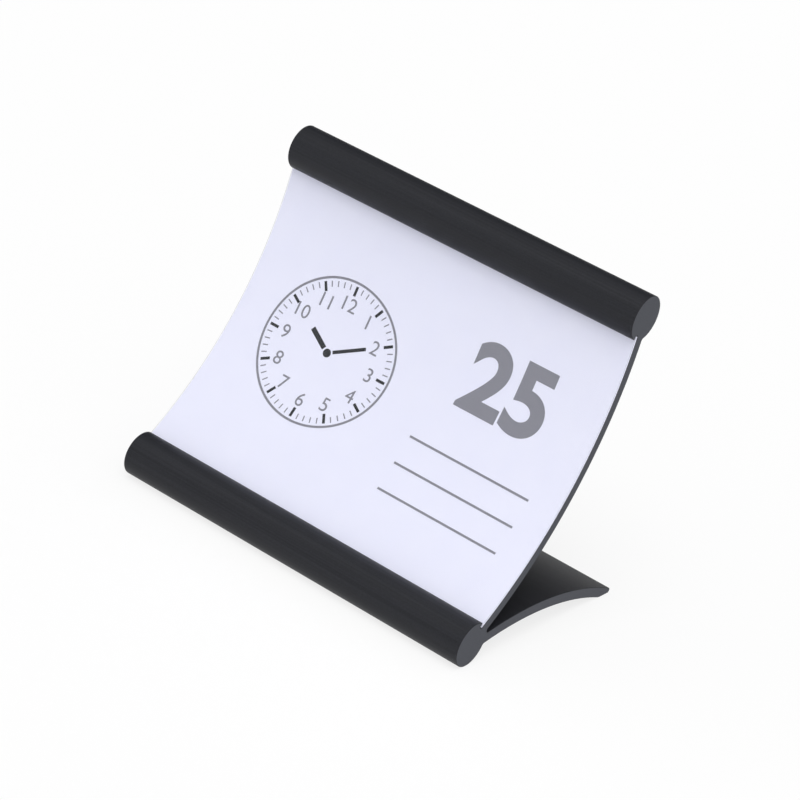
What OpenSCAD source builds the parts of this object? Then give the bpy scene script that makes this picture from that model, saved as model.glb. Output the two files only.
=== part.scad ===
// Table sign holder: an extruded L-shaped rail with a bowed back plate, an arched foot behind it,
// and a round bead along each edge of the plate. A slot in each bead takes the long edges of a
// printed card and of the clear cover in front of it. Both sheets slide in and out at either end.
// Millimetres. X runs along the rail, Y to the back, Z up. The origin is on the table, under the
// middle of the part.

/* [Overall] */
// Length of the rail, of the card and of the cover
rail_length = 70; // [40:1:210]
// Straight distance between the centres of the two beads
bead_spacing = 58; // [46:0.5:72]
// Lean of the face back from upright, in degrees
face_lean = 27.2; // [15:0.1:35]

/* [Rail walls] */
// Thickness of the back plate and of the foot
wall = 1.9; // [1.4:0.1:2.6]
// Diameter of the two beads
bead_dia = 7.8; // [6.4:0.1:9.8]
// Bow radius of the back plate, to the middle of its wall
plate_radius = 64.2; // [50:0.1:120]
// Radius of the fillets where the walls leave the beads
root_fillet = 0.5; // [0.3:0.05:0.7]

/* [Foot] */
// Arch radius of the foot, to the middle of its wall
foot_radius = 75.5; // [60:0.5:110]
// Distance of the arch's crown behind the centre of the bottom bead
crown_back = 16.1; // [12:0.1:20]
// Clear height under the arch's crown
crown_clear = 3.9; // [3:0.1:5]
// Reach of the flat land on the table, from the arch to the back end of the foot
land_reach = 3.3; // [2:0.1:3.6]

/* [Sheets and slots] */
// Thickness of the printed card
card_thickness = 0.3; // [0.15:0.05:0.5]
// Thickness of the clear cover
cover_thickness = 0.2; // [0.1:0.05:0.4]
// Depth of the slot, from the round of the bead to the slot's floor
slot_depth = 0.9; // [0.6:0.1:1.4]
// Gap on each side of each sheet, across the slot
face_gap = 0.05; // [0.03:0.01:0.1]
// Gap between the sheets' long edges and the floors of the slots
edge_gap = 0.15; // [0.05:0.05:0.3]

/* [Hidden] */
$fn = 360;

bead_r = bead_dia / 2;
// How far the plate and the foot run on past the centre of a bead
root_depth = bead_r / 2;

// The two beads: the bottom one rests on the table
bottom_bead = [0, bead_r];
top_bead = bottom_bead + bead_spacing * [sin(face_lean), cos(face_lean)];

// The plate's bow passes through both bead centres and is hollow towards the front
plate_half_angle = asin(bead_spacing / 2 / plate_radius);
plate_hollow = plate_radius * cos(plate_half_angle);
plate_centre = (bottom_bead + top_bead) / 2 + plate_hollow * [-cos(face_lean), sin(face_lean)];
plate_front_r = plate_radius - wall / 2;
plate_back_r = plate_radius + wall / 2;
bottom_angle = -face_lean - plate_half_angle;
top_angle = -face_lean + plate_half_angle;
plate_root_angle = asin(root_depth / plate_radius);

// The foot is the same wall, arched over the table
foot_under_r = foot_radius - wall / 2;
foot_top_r = foot_radius + wall / 2;
foot_centre = [crown_back, crown_clear - foot_under_r];

// How deep a round sinks into the faces that it joins, so that they cross cleanly
round_bite = 0.01;

// The arch comes down to the table where the land starts
land_start = crown_back + sqrt(pow(foot_under_r, 2) - pow(foot_centre[1], 2));
foot_end = land_start + land_reach;

// The nose is a full round at the back end of the foot, from the land to the top face. Its centre lies
// one radius in from the back end, and one radius less the bite from the table and from the top face.
// These are the distances of those three from the arch's centre, with the bite.
nose_out = foot_end - crown_back;
nose_up = -foot_centre[1] - round_bite;
nose_reach = foot_top_r + round_bite;
nose_spare = nose_reach + nose_up - nose_out;
nose_radius =
    sqrt(pow(nose_spare, 2) + pow(nose_reach, 2) - pow(nose_out, 2) - pow(nose_up, 2)) - nose_spare;
nose_centre = [foot_end - nose_radius, nose_radius - round_bite];

// The slots stand against the front of the plate, and the sheets lie in them with a gap on each side
slot_width = card_thickness + cover_thickness + 3 * face_gap;
card_back_r = plate_front_r - face_gap;
card_front_r = card_back_r - card_thickness;
cover_back_r = card_front_r - face_gap;
cover_front_r = cover_back_r - cover_thickness;
slot_mid_r = plate_front_r - slot_width / 2;
slot_floor_reach = sqrt(pow(bead_r, 2) - pow(plate_radius - slot_mid_r, 2)) - slot_depth;
slot_floor_angle = asin(slot_floor_reach / slot_mid_r);
sheet_edge_angle = asin((slot_floor_reach + edge_gap) / slot_mid_r);

// Places the profile with its footprint centred on the origin
origin_shift = -(foot_end - bead_r) / 2;

// Distance of a fillet's centre from the faces that it joins
fillet_reach = root_fillet - round_bite;

// Height of the foot's top face at a distance behind the bottom bead
function foot_top(y) = foot_centre[1] + sqrt(pow(foot_top_r, 2) - pow(y - crown_back, 2));

function direction(from, to) = (to - from) / norm(to - from);

// The point at distance reach_a from a and reach_b from b, on the right of the way from a to b
function meeting(a, reach_a, b, reach_b) =
    let (
        apart = norm(b - a),
        along = (pow(reach_a, 2) - pow(reach_b, 2) + pow(apart, 2)) / (2 * apart),
        aside = sqrt(pow(reach_a, 2) - pow(along, 2)),
        way = direction(a, b)
    )
    a + along * way + aside * [way[1], -way[0]];

// A wall bent round a centre, between two radii and two angles
module bent_wall(centre, inner_r, outer_r, from_angle, to_angle) {
    reach = 2 * outer_r;
    translate(centre)
        intersection() {
            difference() {
                circle(r = outer_r);
                circle(r = inner_r);
            }
            polygon([
                [0, 0],
                reach * [cos(from_angle), sin(from_angle)],
                reach * [cos(to_angle), sin(to_angle)]
            ]);
        }
}

// Fills a corner up to a round about centre. The outline runs through the metal of the corner, from
// the point of one face that is nearest to the round to that of the other face.
module corner_fillet(centre, outline) {
    difference() {
        polygon(outline);
        translate(centre)
            circle(r = root_fillet);
    }
}

// Under the foot, between the bottom bead and the arch
module under_fillet() {
    round_at = meeting(foot_centre, foot_under_r - fillet_reach, bottom_bead, bead_r + fillet_reach);
    corner_fillet(round_at, [
        foot_centre + foot_under_r * direction(foot_centre, round_at),
        bottom_bead,
        bottom_bead + bead_r * direction(bottom_bead, round_at)
    ]);
}

// In the angle between the back of the plate and the top of the foot
module angle_fillet() {
    round_at = meeting(foot_centre, foot_top_r + fillet_reach, plate_centre, plate_back_r + fillet_reach);
    corner_fillet(round_at, [
        plate_centre + plate_back_r * direction(plate_centre, round_at),
        bottom_bead,
        [bottom_bead[0], foot_top(bottom_bead[0]) - wall / 2],
        foot_centre + foot_top_r * direction(foot_centre, round_at)
    ]);
}

// Behind the plate, under the top bead
module top_fillet() {
    round_at = meeting(plate_centre, plate_back_r + fillet_reach, top_bead, bead_r + fillet_reach);
    corner_fillet(round_at, [
        top_bead + bead_r * direction(top_bead, round_at),
        top_bead,
        plate_centre + plate_back_r * direction(plate_centre, round_at)
    ]);
}

// The foot's arched wall, from inside the bottom bead to the nose, down to the table
module foot_profile() {
    intersection() {
        translate(foot_centre)
            difference() {
                circle(r = foot_top_r);
                circle(r = foot_under_r);
            }
        union() {
            polygon([
                [-root_depth, -nose_radius],
                [nose_centre[0], -nose_radius],
                nose_centre,
                nose_centre + bead_dia * direction(foot_centre, nose_centre),
                [-root_depth, bead_dia]
            ]);
            translate(nose_centre)
                circle(r = nose_radius);
        }
        translate([-bead_r, 0])
            square([bead_r + foot_end + wall, bead_dia]);
    }
}

// The whole section of the rail, with the two slots cut by one band in front of the plate
module rail_profile() {
    difference() {
        union() {
            for (bead = [bottom_bead, top_bead])
                translate(bead)
                    circle(r = bead_r);
            bent_wall(
                plate_centre,
                plate_front_r,
                plate_back_r,
                bottom_angle - plate_root_angle,
                top_angle + plate_root_angle
            );
            foot_profile();
            under_fillet();
            angle_fillet();
            top_fillet();
        }
        bent_wall(
            plate_centre,
            plate_front_r - slot_width,
            plate_front_r,
            bottom_angle + slot_floor_angle,
            top_angle - slot_floor_angle
        );
    }
}

// Draws a profile of Y and Z along the whole rail
module along_rail() {
    translate([-rail_length / 2, origin_shift, 0])
        rotate([90, 0, 90])
            linear_extrude(height = rail_length)
                children();
}

// A sheet sprung into the slots
module bowed_sheet(front_r, back_r) {
    along_rail()
        bent_wall(
            plate_centre,
            front_r,
            back_r,
            bottom_angle + sheet_edge_angle,
            top_angle - sheet_edge_angle
        );
}

// The one-piece rail, black anodised aluminium
module holder_rail() {
    color("#343538")
        along_rail()
            rail_profile();
}

// The printed card, which lies against the plate
module printed_card() {
    color("#eceef8")
        bowed_sheet(card_front_r, card_back_r);
}

// The clear cover in front of the card
module clear_cover() {
    color("#f4f8ff", 0.25)
        bowed_sheet(cover_front_r, cover_back_r);
}

holder_rail();
printed_card();
clear_cover();
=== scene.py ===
import math

import bmesh
import bpy
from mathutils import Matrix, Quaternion, Vector


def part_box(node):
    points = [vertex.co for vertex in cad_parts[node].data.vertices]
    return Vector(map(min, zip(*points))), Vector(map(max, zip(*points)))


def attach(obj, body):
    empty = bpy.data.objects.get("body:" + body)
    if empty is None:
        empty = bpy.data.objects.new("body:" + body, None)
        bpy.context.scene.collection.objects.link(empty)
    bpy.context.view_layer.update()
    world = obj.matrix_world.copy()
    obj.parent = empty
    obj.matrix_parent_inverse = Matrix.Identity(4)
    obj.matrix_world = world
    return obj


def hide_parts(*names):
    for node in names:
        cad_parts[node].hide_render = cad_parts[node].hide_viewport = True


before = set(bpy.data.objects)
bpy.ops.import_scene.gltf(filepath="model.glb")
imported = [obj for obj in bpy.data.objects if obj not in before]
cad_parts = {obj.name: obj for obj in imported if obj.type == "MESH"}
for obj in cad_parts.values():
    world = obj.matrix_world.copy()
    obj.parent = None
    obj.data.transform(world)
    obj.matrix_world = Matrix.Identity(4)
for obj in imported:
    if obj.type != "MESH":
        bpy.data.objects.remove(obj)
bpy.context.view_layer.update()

MM = 0.001
TINY = 0.001 * MM

# Sizes of the rail's section
BEAD_RADIUS = 3.9 * MM
FACE_LEAN = math.radians(27.2)
WALL = 1.9 * MM
PLATE_RADIUS = 64.2 * MM
ROOT_FILLET = 0.5 * MM
FOOT_RADIUS = 75.5 * MM
CROWN_BACK = 16.1 * MM
CROWN_CLEAR = 3.9 * MM
CARD_THICKNESS = 0.3 * MM
COVER_THICKNESS = 0.2 * MM
SLOT_DEPTH = 0.9 * MM
FACE_GAP = 0.05 * MM
EDGE_GAP = 0.15 * MM

# Corners of the section that the die rounds. Each is cut back this far along both of its sides: the lips
# of the slots, the slots' floors, and where the arch comes down to the land under the foot.
LIP_REACH = 0.3 * MM
FLOOR_REACH = 0.15 * MM
LAND_REACH = 0.5 * MM
ROUNDING_SEGMENTS = 4
# Edges that a deburring wheel breaks at the sawn ends, and that trimming leaves on the sheets
END_BREAK = 0.1 * MM
END_SEGMENTS = 3
SHEET_BREAK = 0.03 * MM
SHEET_SEGMENTS = 2

# How far a chord of the mesh may lie inside the true round
CHORD_ERROR = 0.002 * MM
# Height of the rows that a flat sheet is cut into before it is bowed
ROW_HEIGHT = 0.55 * MM
# Edges flatter than this are shaded smooth
SMOOTH_BELOW = math.radians(35)
# A face lies flat across a piece's end where its normal points along the rail at least this nearly
FLAT_END = 0.999

rail_low, rail_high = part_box("holder_rail")
rail_length = rail_high.x - rail_low.x

# Places in the section are (y, z)
bottom_bead = Vector((rail_low.y + BEAD_RADIUS, rail_low.z + BEAD_RADIUS))
bead_rise = rail_high.z - BEAD_RADIUS - bottom_bead.y
top_bead = bottom_bead + bead_rise * Vector((math.tan(FACE_LEAN), 1))

# The plate's bow runs through both bead centres and is hollow to the front
plate_half_angle = math.asin((top_bead - bottom_bead).length / 2 / PLATE_RADIUS)
plate_hollow = PLATE_RADIUS * math.cos(plate_half_angle)
plate_centre = (bottom_bead + top_bead) / 2
plate_centre += plate_hollow * Vector((-math.cos(FACE_LEAN), math.sin(FACE_LEAN)))
plate_front_r = PLATE_RADIUS - WALL / 2
plate_back_r = PLATE_RADIUS + WALL / 2

# The foot's arch
foot_under_r = FOOT_RADIUS - WALL / 2
foot_top_r = FOOT_RADIUS + WALL / 2
foot_centre = Vector((bottom_bead.x + CROWN_BACK, rail_low.z + CROWN_CLEAR - foot_under_r))
foot_end = rail_high.y

# The sheets and the slots that hold their long edges
slot_width = CARD_THICKNESS + COVER_THICKNESS + 3 * FACE_GAP
slot_front_r = plate_front_r - slot_width
slot_mid_r = plate_front_r - slot_width / 2
slot_floor_reach = math.sqrt(BEAD_RADIUS**2 - (PLATE_RADIUS - slot_mid_r) ** 2) - SLOT_DEPTH
slot_half_angle = plate_half_angle - math.asin(slot_floor_reach / slot_mid_r)
sheet_half_angle = plate_half_angle - math.asin((slot_floor_reach + EDGE_GAP) / slot_mid_r)
card_r = plate_front_r - FACE_GAP - CARD_THICKNESS / 2
cover_r = card_r - CARD_THICKNESS / 2 - FACE_GAP - COVER_THICKNESS / 2


# Geometry of the section


def on_plate(radius, angle):
    """The point of the section at a radius from the plate's centre, at an angle up from mid-face."""
    angle -= FACE_LEAN
    return plate_centre + radius * Vector((math.cos(angle), math.sin(angle)))


def meeting(a, reach_a, b, reach_b):
    """The point at reach_a from a and reach_b from b, on the right of the way from a to b."""
    way = (b - a).normalized()
    apart = (b - a).length
    along = (reach_a**2 - reach_b**2 + apart**2) / (2 * apart)
    aside = math.sqrt(reach_a**2 - along**2)
    return a + along * way + aside * Vector((way.y, -way.x))


def towards(centre, radius, point):
    """The point of a round that is nearest to another point."""
    return centre + radius * (point - centre).normalized()


def full_round(out, up):
    """Radius of the round that touches the foot's top face, and the back end and the table, which lie
    this far out and up from the arch's centre."""
    spare = foot_top_r + up - out
    return math.sqrt(spare**2 + foot_top_r**2 - out**2 - up**2) - spare


# Work in edit mode


def deselect():
    bpy.ops.object.select_all(action="DESELECT")


def start_piece(name):
    """Names the primitive that was just added and puts its place into its mesh."""
    piece = bpy.context.active_object
    piece.name = name
    piece.data.name = name
    bpy.ops.object.transform_apply(location=True, rotation=True, scale=True)
    return piece


def activate(piece):
    deselect()
    piece.select_set(True)
    bpy.context.view_layer.objects.active = piece


def pick(piece, kind, wanted):
    """In edit mode, selects only the points, edges or faces of a piece that pass a test."""
    bpy.ops.mesh.select_mode(type=kind)
    bpy.ops.mesh.select_all(action="DESELECT")
    mesh = bmesh.from_edit_mesh(piece.data)
    parts = {"VERT": mesh.verts, "EDGE": mesh.edges, "FACE": mesh.faces}[kind]
    for part in parts:
        if wanted(part):
            part.select_set(True)
    mesh.select_flush_mode()
    bmesh.update_edit_mesh(piece.data)


def apply_modifier(piece, kind, **settings):
    """Adds a modifier to the active piece, sets it and applies it."""
    modifier = piece.modifiers.new(kind.lower(), kind)
    for name, value in settings.items():
        setattr(modifier, name, value)
    bpy.ops.object.modifier_apply(modifier=modifier.name)


def give_finish(piece, all_over, ends=None):
    """Gives a piece its material, and another one to the flat faces at its two ends."""
    activate(piece)
    piece.data.materials.append(all_over)
    if ends:
        piece.data.materials.append(ends)
        piece.active_material_index = 1
        bpy.ops.object.mode_set(mode="EDIT")
        pick(piece, "FACE", lambda face: abs(face.normal.x) > FLAT_END)
        bpy.ops.object.material_slot_assign()
        bpy.ops.object.mode_set(mode="OBJECT")


def place_piece(piece, body, node=None):
    """Shades a finished mesh, hangs it on the body it rides on, and hides the CAD node that it replaces.
    """
    activate(piece)
    bpy.ops.object.shade_smooth_by_angle(angle=SMOOTH_BELOW)
    apply_modifier(piece, "WEIGHTED_NORMAL", keep_sharp=True)
    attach(piece, body)
    if node:
        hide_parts(node)


# The rail

ROUND = 1
HOLLOW = -1
STRAIGHT = 0


def trace_outline(name, x, start, stretches):
    """Draws a closed outline across the rail at x, stretch by stretch, and fills it."""
    deselect()
    bpy.ops.mesh.primitive_plane_add(size=MM, location=(x, *start))
    piece = start_piece(name)
    bpy.ops.object.mode_set(mode="EDIT")
    bpy.ops.mesh.merge(type="CENTER")
    here = start
    for turn, centre, end in stretches:
        if turn == STRAIGHT:
            bpy.ops.mesh.extrude_region_move(TRANSFORM_OT_translate={"value": (0, *(end - here))})
        else:
            from_angle = math.atan2(*(here - centre).yx)
            to_angle = math.atan2(*(end - centre).yx)
            sweep = (turn * (to_angle - from_angle)) % math.tau
            step = 2 * math.acos(1 - CHORD_ERROR / (here - centre).length)
            bpy.ops.mesh.spin(
                steps=math.ceil(sweep / step),
                angle=-turn * sweep,
                center=(x, *centre),
                axis=(1, 0, 0),
            )
        here = end
    bpy.ops.mesh.select_all(action="SELECT")
    bpy.ops.mesh.remove_doubles(threshold=TINY)
    bpy.ops.mesh.edge_face_add()
    return piece


def at_corners(corners):
    """A test that only the points at these places of the section pass."""
    return lambda point: any((point.co.yz - corner).length < TINY for corner in corners)


def make_rail():
    """The one-piece extrusion: two slotted beads, the bowed plate and the arched foot."""
    # Centres of the fillets under the foot, in the angle behind the plate and under the top bead
    under_round = meeting(
        foot_centre, foot_under_r - ROOT_FILLET, bottom_bead, BEAD_RADIUS + ROOT_FILLET
    )
    angle_round = meeting(
        foot_centre, foot_top_r + ROOT_FILLET, plate_centre, plate_back_r + ROOT_FILLET
    )
    top_round = meeting(plate_centre, plate_back_r + ROOT_FILLET, top_bead, BEAD_RADIUS + ROOT_FILLET)

    # The foot's back end, from where the arch comes down to the table to the full round of the nose
    table = rail_low.z
    arch_half_span = math.sqrt(foot_under_r**2 - (table - foot_centre.y) ** 2)
    land_start = Vector((foot_centre.x + arch_half_span, table))
    nose_radius = full_round(foot_end - foot_centre.x, table - foot_centre.y)
    nose_centre = Vector((foot_end - nose_radius, table + nose_radius))

    # Corners of the slots
    bottom_lip = meeting(bottom_bead, BEAD_RADIUS, plate_centre, slot_front_r)
    top_lip = meeting(plate_centre, slot_front_r, top_bead, BEAD_RADIUS)
    top_floor = [on_plate(radius, slot_half_angle) for radius in (slot_front_r, plate_front_r)]
    bottom_floor = [on_plate(radius, -slot_half_angle) for radius in (plate_front_r, slot_front_r)]

    outline = [
        (ROUND, bottom_bead, towards(bottom_bead, BEAD_RADIUS, under_round)),
        (HOLLOW, under_round, towards(foot_centre, foot_under_r, under_round)),
        (HOLLOW, foot_centre, land_start),
        (STRAIGHT, None, Vector((nose_centre.x, table))),
        (ROUND, nose_centre, towards(foot_centre, foot_top_r, nose_centre)),
        (ROUND, foot_centre, towards(foot_centre, foot_top_r, angle_round)),
        (HOLLOW, angle_round, towards(plate_centre, plate_back_r, angle_round)),
        (ROUND, plate_centre, towards(plate_centre, plate_back_r, top_round)),
        (HOLLOW, top_round, towards(top_bead, BEAD_RADIUS, top_round)),
        (ROUND, top_bead, top_lip),
        (ROUND, plate_centre, top_floor[0]),
        (STRAIGHT, None, top_floor[1]),
        (HOLLOW, plate_centre, bottom_floor[0]),
        (STRAIGHT, None, bottom_floor[1]),
        (ROUND, plate_centre, bottom_lip),
    ]
    piece = trace_outline("anodised_rail", rail_low.x, bottom_lip, outline)

    rounded = [
        (LIP_REACH, [bottom_lip, top_lip]),
        (FLOOR_REACH, [*top_floor, *bottom_floor]),
        (LAND_REACH, [land_start]),
    ]
    for reach, corners in rounded:
        pick(piece, "VERT", at_corners(corners))
        bpy.ops.mesh.bevel(
            offset=reach,
            segments=ROUNDING_SEGMENTS,
            affect="VERTICES",
            clamp_overlap=False,
        )

    bpy.ops.mesh.select_all(action="SELECT")
    bpy.ops.mesh.extrude_region_move(TRANSFORM_OT_translate={"value": (rail_length, 0, 0)})
    bpy.ops.mesh.select_all(action="SELECT")
    bpy.ops.mesh.normals_make_consistent(inside=False)
    pick(piece, "EDGE", lambda edge: abs(edge.verts[0].co.x - edge.verts[1].co.x) < TINY)
    bpy.ops.mesh.bevel(offset=END_BREAK, segments=END_SEGMENTS, affect="EDGES", clamp_overlap=False)
    bpy.ops.object.mode_set(mode="OBJECT")
    return piece


# Sheets and print, modelled flat and then bowed

UPRIGHT = math.radians(90)
# Thickness of an ink's film, half of which soaks into the card
INK_FILM = 0.04 * MM
# Sides of a printed round
DISC_SIDES = 120


def flat_panel(name, width, height, x=0, z=0):
    """A flat rectangle that stands facing the front."""
    deselect()
    bpy.ops.mesh.primitive_plane_add(size=1, location=(x, 0, z), rotation=(UPRIGHT, 0, 0))
    bpy.context.active_object.scale = (width, height, 1)
    return start_piece(name)


def flat_disc(name, radius, place):
    """A flat disc that stands facing the front."""
    deselect()
    bpy.ops.mesh.primitive_circle_add(
        vertices=DISC_SIDES,
        radius=radius,
        fill_type="NGON",
        location=(place.x, 0, place.y),
        rotation=(UPRIGHT, 0, 0),
    )
    return start_piece(name)


def cut_rows(piece):
    """Cuts a flat piece across its height, so that it can bow smoothly."""
    heights = [point.co.z for point in piece.data.vertices]
    low = min(heights)
    rows = math.ceil((max(heights) - low) / ROW_HEIGHT)
    spacing = (max(heights) - low) / rows
    bpy.ops.object.mode_set(mode="EDIT")
    bpy.ops.mesh.select_all(action="SELECT")
    bpy.ops.mesh.remove_doubles(threshold=TINY)
    for row in range(1, rows):
        bpy.ops.mesh.select_all(action="SELECT")
        bpy.ops.mesh.bisect(plane_co=(0, 0, low + row * spacing), plane_no=(0, 0, 1))
    bpy.ops.object.mode_set(mode="OBJECT")


def bow(piece, radius):
    """Bends a flat piece about the plate's centre and leans it back in front of the plate."""
    apply_modifier(
        piece,
        "SIMPLE_DEFORM",
        deform_method="BEND",
        deform_axis="X",
        angle=-piece.dimensions.z / radius,
    )
    piece.rotation_euler.x = -FACE_LEAN
    piece.location = (0, *on_plate(radius, 0))
    bpy.ops.object.transform_apply(location=True, rotation=True, scale=True)


def make_sheet(name, radius, thickness):
    """A sheet as long as the rail, sprung into both slots."""
    piece = flat_panel(name, rail_length, 2 * sheet_half_angle * radius)
    cut_rows(piece)
    apply_modifier(piece, "SOLIDIFY", thickness=thickness, offset=0)
    apply_modifier(piece, "BEVEL", width=SHEET_BREAK, segments=SHEET_SEGMENTS, limit_method="ANGLE")
    bow(piece, radius)
    return piece


def press(name, shapes):
    """Joins flat shapes into one print and lays it on the card."""
    activate(shapes[0])
    for shape in shapes:
        shape.select_set(True)
    bpy.ops.object.join()
    shapes[0].location.y = -CARD_THICKNESS / 2
    piece = start_piece(name)
    cut_rows(piece)
    apply_modifier(piece, "SOLIDIFY", thickness=INK_FILM, offset=0)
    bow(piece, card_r)
    return piece


# The print: a dial, a large number and lines to write on. Places on the card are (x, height).

DIAL_CENTRE = Vector((-15.5, 0.5)) * MM
DIAL_RADIUS = 13 * MM
DIAL_LINE = 0.4 * MM
MINUTES = 60
HOURS = 12
# Width and length of a tick
MINUTE_TICK = (0.2 * MM, 1.0 * MM)
HOUR_TICK = (0.5 * MM, 1.7 * MM)
HUB_RADIUS = 0.75 * MM
HANDS_START = 1.05 * MM
# Width and reach of a hand, and the hour that it points at
HOUR_HAND = (0.9 * MM, 5.2 * MM, 10)
MINUTE_HAND = (0.6 * MM, 7.2 * MM, 2)
NUMBER_CIRCLE = 8.9 * MM
NUMBER_HEIGHT = 2.4 * MM
LARGE_NUMBER = "25"
LARGE_CENTRE = Vector((17.5, 9)) * MM
LARGE_HEIGHT = 12.5 * MM
# Share of its size by which the large number's outline is fattened
LARGE_WEIGHT = 0.03
LINE_LENGTH = 24 * MM
LINE_WIDTH = 0.4 * MM
LINE_HEIGHTS = [-5 * MM, -10 * MM, -15 * MM]


def print_number(text, height, place, weight=0):
    """A plain number, centred at a place on the card. The weight fattens its strokes."""
    deselect()
    bpy.ops.object.text_add()
    bpy.context.active_object.data.body = text
    bpy.context.active_object.data.offset = weight
    bpy.ops.object.convert(target="MESH")
    bpy.ops.object.origin_set(type="ORIGIN_GEOMETRY", center="BOUNDS")
    piece = bpy.context.active_object
    piece.scale = Vector((1, 1, 1)) * height / piece.dimensions.y
    piece.rotation_euler.x = UPRIGHT
    piece.location = (place.x, 0, place.y)
    return start_piece("number")


def dial_bar(width, inner, outer, share):
    """A bar of the dial between two radii, at a share of the turn from the top."""
    piece = flat_panel("bar", width, outer - inner, 0, (inner + outer) / 2)
    piece.rotation_euler.y = share * math.tau
    piece.location = (DIAL_CENTRE.x, 0, DIAL_CENTRE.y)
    return start_piece("bar")


def dial_ring():
    """The line round the dial."""
    piece = flat_disc("ring", DIAL_RADIUS, DIAL_CENTRE)
    bpy.ops.object.mode_set(mode="EDIT")
    bpy.ops.mesh.select_all(action="SELECT")
    bpy.ops.mesh.inset(thickness=DIAL_LINE)
    bpy.ops.mesh.delete(type="FACE")
    bpy.ops.object.mode_set(mode="OBJECT")
    return piece


def dial_ticks(size, shares):
    """A tick just inside the dial's line at each share of the turn."""
    width, length = size
    outer = DIAL_RADIUS - 2 * DIAL_LINE
    return [dial_bar(width, outer - length, outer, share) for share in shares]


def dial_hands():
    """The two hands and the hub between them."""
    hub = flat_disc("hub", HUB_RADIUS, DIAL_CENTRE)
    bars = [
        dial_bar(width, HANDS_START, reach, hour / HOURS)
        for width, reach, hour in (HOUR_HAND, MINUTE_HAND)
    ]
    return [hub, *bars]


def dial_numbers():
    """The numbers of the hours."""
    numbers = []
    for hour in range(1, HOURS + 1):
        turn = hour / HOURS * math.tau
        place = DIAL_CENTRE + NUMBER_CIRCLE * Vector((math.sin(turn), math.cos(turn)))
        numbers.append(print_number(str(hour), NUMBER_HEIGHT, place))
    return numbers


def make_grey_print():
    """What the card carries in grey: most of the dial, the large number and the lines."""
    between = [minute / MINUTES for minute in range(MINUTES) if minute * HOURS % MINUTES]
    lines = [
        flat_panel("line", LINE_LENGTH, LINE_WIDTH, LARGE_CENTRE.x, height)
        for height in LINE_HEIGHTS
    ]
    large = print_number(LARGE_NUMBER, LARGE_HEIGHT, LARGE_CENTRE, LARGE_WEIGHT)
    shapes = [large, dial_ring(), *dial_ticks(MINUTE_TICK, between), *dial_numbers(), *lines]
    return press("grey_print", shapes)


def make_black_print():
    """What the card carries in black: the dial's bold ticks and its hands."""
    shares = [hour / HOURS for hour in range(HOURS)]
    return press("black_print", [*dial_ticks(HOUR_TICK, shares), *dial_hands()])


# Materials


def colour(code):
    """Linear colour of an sRGB hex code, by the sRGB formula."""
    shares = [int(code[at : at + 2], 16) / 255 for at in (1, 3, 5)]
    linear = [s / 12.92 if s <= 0.04045 else ((s + 0.055) / 1.055) ** 2.4 for s in shares]
    return (*linear, 1)


def add_node(tree, kind, inputs, **settings):
    """Adds a node, sets it, and gives each input, by name or number, a value or a link."""
    made = tree.nodes.new("ShaderNode" + kind)
    for name, value in settings.items():
        setattr(made, name, value)
    for name, value in inputs.items():
        if isinstance(value, bpy.types.NodeSocket):
            tree.links.new(value, made.inputs[name])
        else:
            made.inputs[name].default_value = value
    return made


def new_material(name):
    """An empty material. Returns it and its tree."""
    material = bpy.data.materials.new(name)
    material.use_nodes = True
    tree = material.node_tree
    tree.nodes.clear()
    return material, tree


# The numbers of a Mix node's colour inputs and output
MIX_A = 6
MIX_B = 7
MIX_RESULT = 2
# Nearly all of a noise texture's values lie between these two. A name that ends in DETAIL is the number
# of finer noises laid over a pattern's own size.
NOISE_LOW = 0.3
NOISE_HIGH = 0.7
# Blender's Wave draws one line in this many units at a scale of 1
WAVE_SPACING = math.tau / 20

# Black anodised aluminium: extruded, etched matt, then dyed and sealed. The dyed film hides the metal,
# so the eye sees a soft, deep, cool grey with a weak sheen, faint lines along the rail from the die and
# a fine even grain from the etch.
DYE_DEEP = "#1e1f23"
DYE_PALE = "#2b2c31"
# Specular level of the sealed film, where 0.5 is a plain gloss
DYE_SHEEN = 0.18
DIE_LINE_WIDTH = 0.3 * MM
DIE_LINE_LENGTH = 50 * MM
DIE_LINE_DEPTH = 0.004 * MM
DIE_LINE_DETAIL = 2
# True etch pits are about 0.02 mm across. They are drawn this coarse so that they show.
ETCH_GRAIN = 0.2 * MM
ETCH_DEPTH = 0.004 * MM
ETCH_DETAIL = 2
ETCH_SMOOTHEST = 0.42
ETCH_ROUGHEST = 0.55
# The cut ends are coloured paler than the faces' dye: painted light, for the light that falls on them
# from the right. They show faint arcs from the saw's blade.
LIT_END_DEEP = "#383a42"
LIT_END_PALE = "#444750"
SAW_CENTRE = Vector((0, 60, 150)) * MM
SAW_MARK_SPACING = 0.35 * MM
SAW_MARK_DEPTH = 0.003 * MM
SAW_MARK_WANDER = 2
SAW_MARK_DETAIL = 2


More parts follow.
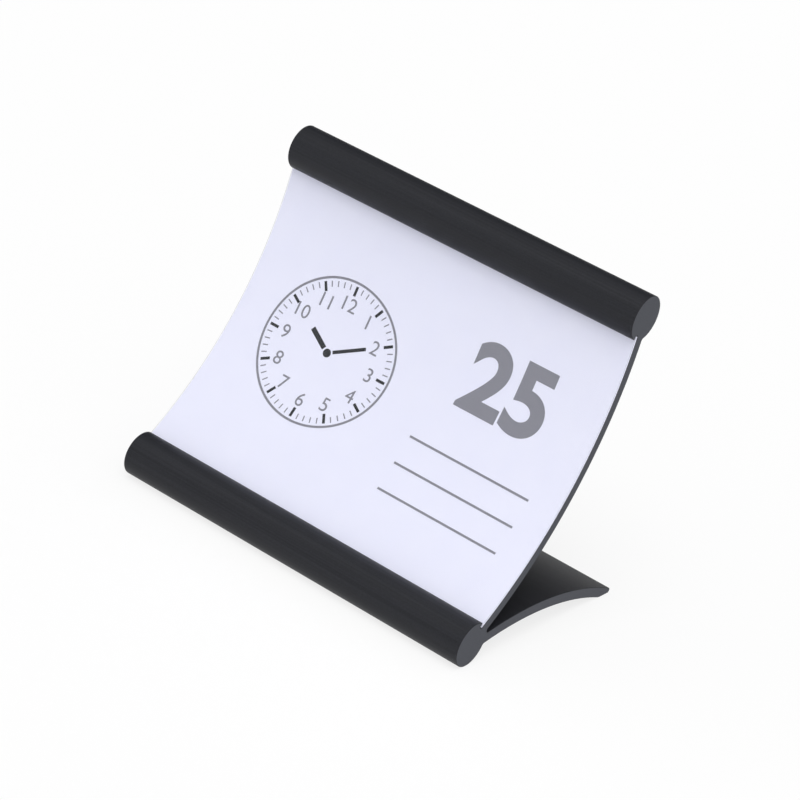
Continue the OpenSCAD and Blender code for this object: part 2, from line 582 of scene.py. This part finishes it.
def anodised_aluminium():
    material, tree = new_material("anodised_aluminium")
    place = add_node(tree, "TexCoord", {}).outputs["Object"]
    along = add_node(tree, "Mapping", {
        "Vector": place,
        "Scale": (1 / DIE_LINE_LENGTH, 1 / DIE_LINE_WIDTH, 1 / DIE_LINE_WIDTH),
    })
    lines = add_node(
        tree, "TexNoise", {"Vector": along.outputs[0], "Scale": 1, "Detail": DIE_LINE_DETAIL}
    )
    grain = add_node(
        tree, "TexNoise", {"Vector": place, "Scale": 1 / ETCH_GRAIN, "Detail": ETCH_DETAIL}
    )
    # The depth of the dye follows the sum of the two noises, so its range is twice that of one
    both = add_node(tree, "Math", {0: lines.outputs[0], 1: grain.outputs[0]}, operation="ADD")
    taken = add_node(tree, "MapRange", {
        "Value": both.outputs[0],
        "From Min": 2 * NOISE_LOW,
        "From Max": 2 * NOISE_HIGH,
    })
    base_tone = add_node(
        tree,
        "Mix",
        {0: taken.outputs[0], MIX_A: colour(DYE_DEEP), MIX_B: colour(DYE_PALE)},
        data_type="RGBA",
    )
    matt = add_node(tree, "MapRange", {
        "Value": grain.outputs[0],
        "To Min": ETCH_SMOOTHEST,
        "To Max": ETCH_ROUGHEST,
    })
    die = add_node(tree, "Bump", {"Height": lines.outputs[0], "Distance": DIE_LINE_DEPTH})
    etch = add_node(tree, "Bump", {
        "Height": grain.outputs[0],
        "Distance": ETCH_DEPTH,
        "Normal": die.outputs[0],
    })
    shader = add_node(tree, "BsdfPrincipled", {
        "Base Color": base_tone.outputs[MIX_RESULT],
        "Roughness": matt.outputs[0],
        "Specular IOR Level": DYE_SHEEN,
        "Normal": etch.outputs[0],
    })
    add_node(tree, "OutputMaterial", {"Surface": shader.outputs[0]})
    return material


def sawn_aluminium():
    material, tree = new_material("sawn_anodised_aluminium_painted_light")
    place = add_node(tree, "TexCoord", {}).outputs["Object"]
    from_blade = add_node(tree, "Mapping", {"Vector": place, "Location": -SAW_CENTRE})
    arcs = add_node(
        tree,
        "TexWave",
        {
            "Vector": from_blade.outputs[0],
            "Scale": WAVE_SPACING / SAW_MARK_SPACING,
            "Distortion": SAW_MARK_WANDER,
            "Detail": SAW_MARK_DETAIL,
        },
        wave_type="RINGS",
        rings_direction="X",
    )
    grain = add_node(
        tree, "TexNoise", {"Vector": place, "Scale": 1 / ETCH_GRAIN, "Detail": ETCH_DETAIL}
    )
    # The ends' two colours are paler than the rail's: painted light for the light falling on the cut
    # ends
    base_tone = add_node(
        tree,
        "Mix",
        {0: grain.outputs[0], MIX_A: colour(LIT_END_DEEP), MIX_B: colour(LIT_END_PALE)},
        data_type="RGBA",
    )
    matt = add_node(tree, "MapRange", {
        "Value": grain.outputs[0],
        "To Min": ETCH_SMOOTHEST,
        "To Max": ETCH_ROUGHEST,
    })
    marks = add_node(tree, "Bump", {"Height": arcs.outputs["Fac"], "Distance": SAW_MARK_DEPTH})
    shader = add_node(tree, "BsdfPrincipled", {
        "Base Color": base_tone.outputs[MIX_RESULT],
        "Roughness": matt.outputs[0],
        "Specular IOR Level": DYE_SHEEN,
        "Normal": marks.outputs[0],
    })
    add_node(tree, "OutputMaterial", {"Surface": shader.outputs[0]})
    return material


# Coated card: a smooth white board with a cold, faintly blue white. The eye sees a matt white that is
# nearly even, with soft clouds from the pulp and a trace of fibre.
CARD_WHITE = "#ebecfc"
CARD_CLOUD = "#e6e7fa"
CARD_SMOOTHEST = 0.5
CARD_ROUGHEST = 0.65
PULP_CLOUD = 4 * MM
PULP_DETAIL = 4
# True fibres are about 0.02 mm wide. They are drawn this coarse so that they show.
FIBRE_WIDTH = 0.15 * MM
FIBRE_LENGTH = 1.2 * MM
FIBRE_DEPTH = 0.003 * MM
FIBRE_DETAIL = 3


def coated_card():
    material, tree = new_material("coated_card")
    place = add_node(tree, "TexCoord", {}).outputs["Object"]
    along = add_node(tree, "Mapping", {
        "Vector": place,
        "Scale": (1 / FIBRE_LENGTH, 1 / FIBRE_WIDTH, 1 / FIBRE_WIDTH),
    })
    fibres = add_node(
        tree, "TexNoise", {"Vector": along.outputs[0], "Scale": 1, "Detail": FIBRE_DETAIL}
    )
    clouds = add_node(
        tree, "TexNoise", {"Vector": place, "Scale": 1 / PULP_CLOUD, "Detail": PULP_DETAIL}
    )
    white = add_node(
        tree,
        "Mix",
        {0: clouds.outputs[0], MIX_A: colour(CARD_WHITE), MIX_B: colour(CARD_CLOUD)},
        data_type="RGBA",
    )
    matt = add_node(tree, "MapRange", {
        "Value": fibres.outputs[0],
        "To Min": CARD_SMOOTHEST,
        "To Max": CARD_ROUGHEST,
    })
    felt = add_node(tree, "Bump", {"Height": fibres.outputs[0], "Distance": FIBRE_DEPTH})
    shader = add_node(tree, "BsdfPrincipled", {
        "Base Color": white.outputs[MIX_RESULT],
        "Roughness": matt.outputs[0],
        "Normal": felt.outputs[0],
    })
    add_node(tree, "OutputMaterial", {"Surface": shader.outputs[0]})
    return material


# Offset printing ink: a thin dry film. The eye sees a flat tone that is a little uneven, where the
# card's surface takes more ink or less, with a slight sheen. Each ink has its dense and its thin tone.
GREY_INK = ("#7e7e88", "#888892")
BLACK_INK = ("#131317", "#1c1c21")
INK_SMOOTHEST = 0.4
INK_ROUGHEST = 0.6
INK_MOTTLE = 0.4 * MM
INK_DEPTH = 0.002 * MM
INK_DETAIL = 4


def offset_ink(name, dense, thin):
    material, tree = new_material(name)
    place = add_node(tree, "TexCoord", {}).outputs["Object"]
    mottle = add_node(
        tree, "TexNoise", {"Vector": place, "Scale": 1 / INK_MOTTLE, "Detail": INK_DETAIL}
    )
    tone = add_node(
        tree,
        "Mix",
        {0: mottle.outputs[0], MIX_A: colour(dense), MIX_B: colour(thin)},
        data_type="RGBA",
    )
    sheen = add_node(tree, "MapRange", {
        "Value": mottle.outputs[0],
        "To Min": INK_SMOOTHEST,
        "To Max": INK_ROUGHEST,
    })
    film = add_node(tree, "Bump", {"Height": mottle.outputs[0], "Distance": INK_DEPTH})
    shader = add_node(tree, "BsdfPrincipled", {
        "Base Color": tone.outputs[MIX_RESULT],
        "Roughness": sheen.outputs[0],
        "Normal": film.outputs[0],
    })
    add_node(tree, "OutputMaterial", {"Surface": shader.outputs[0]})
    return material


# Clear PET film, calendered: the eye sees what is behind it under a faint gloss, which long soft ripples
# and fine scuffs break up. Its cut ends gather light and show as pale lines.
FILM_TINT = "#9aa2aa"
FILM_IOR = 1.57
# How much the film hides, through its face and at its cut ends
FILM_VEIL = 0.03
FILM_END_VEIL = 0.4
FILM_SMOOTHEST = 0.05
FILM_ROUGHEST = 0.2
FILM_RIPPLE = 9 * MM
FILM_RIPPLE_DEPTH = 0.02 * MM
FILM_RIPPLE_DETAIL = 1
FILM_SCUFF = 0.5 * MM
FILM_SCUFF_DETAIL = 5


def clear_film(name, veil):
    material, tree = new_material(name)
    place = add_node(tree, "TexCoord", {}).outputs["Object"]
    ripple = add_node(
        tree, "TexNoise", {"Vector": place, "Scale": 1 / FILM_RIPPLE, "Detail": FILM_RIPPLE_DETAIL}
    )
    scuffs = add_node(
        tree, "TexNoise", {"Vector": place, "Scale": 1 / FILM_SCUFF, "Detail": FILM_SCUFF_DETAIL}
    )
    gloss = add_node(tree, "MapRange", {
        "Value": scuffs.outputs[0],
        "To Min": FILM_SMOOTHEST,
        "To Max": FILM_ROUGHEST,
    })
    wave = add_node(tree, "Bump", {"Height": ripple.outputs[0], "Distance": FILM_RIPPLE_DEPTH})
    shader = add_node(tree, "BsdfPrincipled", {
        "Base Color": colour(FILM_TINT),
        "Roughness": gloss.outputs[0],
        "IOR": FILM_IOR,
        "Alpha": veil,
        "Normal": wave.outputs[0],
    })
    add_node(tree, "OutputMaterial", {"Surface": shader.outputs[0]})
    return material


# The pieces

rail = make_rail()
give_finish(rail, anodised_aluminium(), sawn_aluminium())
place_piece(rail, "holder", "holder_rail")

card = make_sheet("card_sheet", card_r, CARD_THICKNESS)
give_finish(card, coated_card())
place_piece(card, "card", "printed_card")

grey_print = make_grey_print()
give_finish(grey_print, offset_ink("grey_offset_ink", *GREY_INK))
place_piece(grey_print, "card")

black_print = make_black_print()
give_finish(black_print, offset_ink("black_offset_ink", *BLACK_INK))
place_piece(black_print, "card")

cover = make_sheet("clear_sheet", cover_r, COVER_THICKNESS)
give_finish(cover, clear_film("clear_film", FILM_VEIL), clear_film("clear_film_end", FILM_END_VEIL))
place_piece(cover, "cover", "clear_cover")

# Studio

# Side of the floor, in metres
FLOOR_SIZE = 8
FLOOR_WHITE = "#fcfcfc"
# Share of the floor's white that is even where it is seen. The rest takes the shadow.
FLOOR_EVEN = 0.8
# The room: a low white wall all round, whose top is at these sines of the height above the horizon,
# and above it a soft white room with one dim corner, which starts and is full at these angles from its
# middle
ROOM_WHITE = "#ffffff"
WALL_FULL = 0.09
WALL_GONE = 0.12
ROOM_LEVEL = 0.64
CORNER_LEVEL = 0.02
CORNER_WAY = Vector((-0.6, 0.75, 0.25)).normalized()
CORNER_STARTS = math.radians(52)
CORNER_FULL = math.radians(24)
# One broad lamp over the front
KEY_LEVEL = 1.46
KEY_SPREAD = math.radians(40)
KEY_FROM = Vector((0.15, -0.42, 0.89))


def lay_floor():
    """A white paper floor that keeps a faint shadow."""
    deselect()
    bpy.ops.mesh.primitive_plane_add(size=FLOOR_SIZE)
    floor = start_piece("floor")
    material, tree = new_material("floor_paper")
    path = add_node(tree, "LightPath", {})
    mirrored = add_node(
        tree,
        "Math",
        {0: path.outputs["Is Glossy Ray"], 1: path.outputs["Is Transmission Ray"]},
        operation="MAXIMUM",
    )
    seen = add_node(
        tree,
        "Math",
        {0: path.outputs["Is Camera Ray"], 1: mirrored.outputs[0]},
        operation="MAXIMUM",
    )
    share = add_node(tree, "Math", {0: seen.outputs[0], 1: FLOOR_EVEN}, operation="MULTIPLY")
    paper = add_node(tree, "BsdfDiffuse", {"Color": colour(FLOOR_WHITE)})
    even = add_node(tree, "Emission", {"Strength": 1})
    both = add_node(tree, "MixShader", {0: share.outputs[0], 1: paper.outputs[0], 2: even.outputs[0]})
    add_node(tree, "OutputMaterial", {"Surface": both.outputs[0]})
    floor.data.materials.append(material)


def light_studio():
    """A soft white room and one broad key light."""
    world = bpy.data.worlds.new("studio")
    world.use_nodes = True
    bpy.context.scene.world = world
    tree = world.node_tree
    tree.nodes.clear()
    way = add_node(tree, "TexCoord", {}).outputs["Generated"]
    height = add_node(tree, "SeparateXYZ", {0: way}).outputs["Z"]
    near_corner = add_node(tree, "VectorMath", {0: way, 1: CORNER_WAY}, operation="DOT_PRODUCT")
    wall = add_node(
        tree,
        "MapRange",
        {
            "Value": height,
            "From Min": WALL_FULL,
            "From Max": WALL_GONE,
            "To Min": 1,
            "To Max": 0,
        },
        interpolation_type="SMOOTHSTEP",
    )
    room = add_node(
        tree,
        "MapRange",
        {
            "Value": near_corner.outputs["Value"],
            "From Min": math.cos(CORNER_STARTS),
            "From Max": math.cos(CORNER_FULL),
            "To Min": ROOM_LEVEL,
            "To Max": CORNER_LEVEL,
        },
        interpolation_type="SMOOTHSTEP",
    )
    level = add_node(tree, "Math", {0: wall.outputs[0], 1: room.outputs[0]}, operation="MAXIMUM")
    sky = add_node(tree, "Background", {"Color": colour(ROOM_WHITE), "Strength": level.outputs[0]})
    add_node(tree, "OutputWorld", {"Surface": sky.outputs[0]})

    bpy.ops.object.light_add(type="SUN")
    key = bpy.context.active_object
    key.name = "key"
    key.data.energy = KEY_LEVEL
    key.data.angle = KEY_SPREAD
    key.rotation_euler = (-KEY_FROM).to_track_quat("-Z", "Y").to_euler()


# The photograph's viewing place. The lens is a focal length in millimetres.
CAMERA_AIM = Vector((0, -0.5, 26)) * MM
CAMERA_DISTANCE = 487.6 * MM
CAMERA_AZIMUTH = math.radians(30.14)
CAMERA_ELEVATION = math.radians(24.51)
CAMERA_ROLL = math.radians(14.86)
CAMERA_LENS = 133.75
CAMERA_NEAR = 10 * MM


def place_camera():
    back = Vector((
        math.sin(CAMERA_AZIMUTH) * math.cos(CAMERA_ELEVATION),
        -math.cos(CAMERA_AZIMUTH) * math.cos(CAMERA_ELEVATION),
        math.sin(CAMERA_ELEVATION),
    ))
    bpy.ops.object.camera_add(location=CAMERA_AIM + CAMERA_DISTANCE * back)
    camera = bpy.context.active_object
    camera.rotation_mode = "QUATERNION"
    camera.rotation_quaternion = (-back).to_track_quat("-Z", "Y") @ Quaternion((0, 0, 1), CAMERA_ROLL)
    camera.data.lens = CAMERA_LENS
    camera.data.clip_start = CAMERA_NEAR
    bpy.context.scene.camera = camera


lay_floor()
light_studio()
place_camera()
bpy.context.scene.view_settings.view_transform = "Standard"
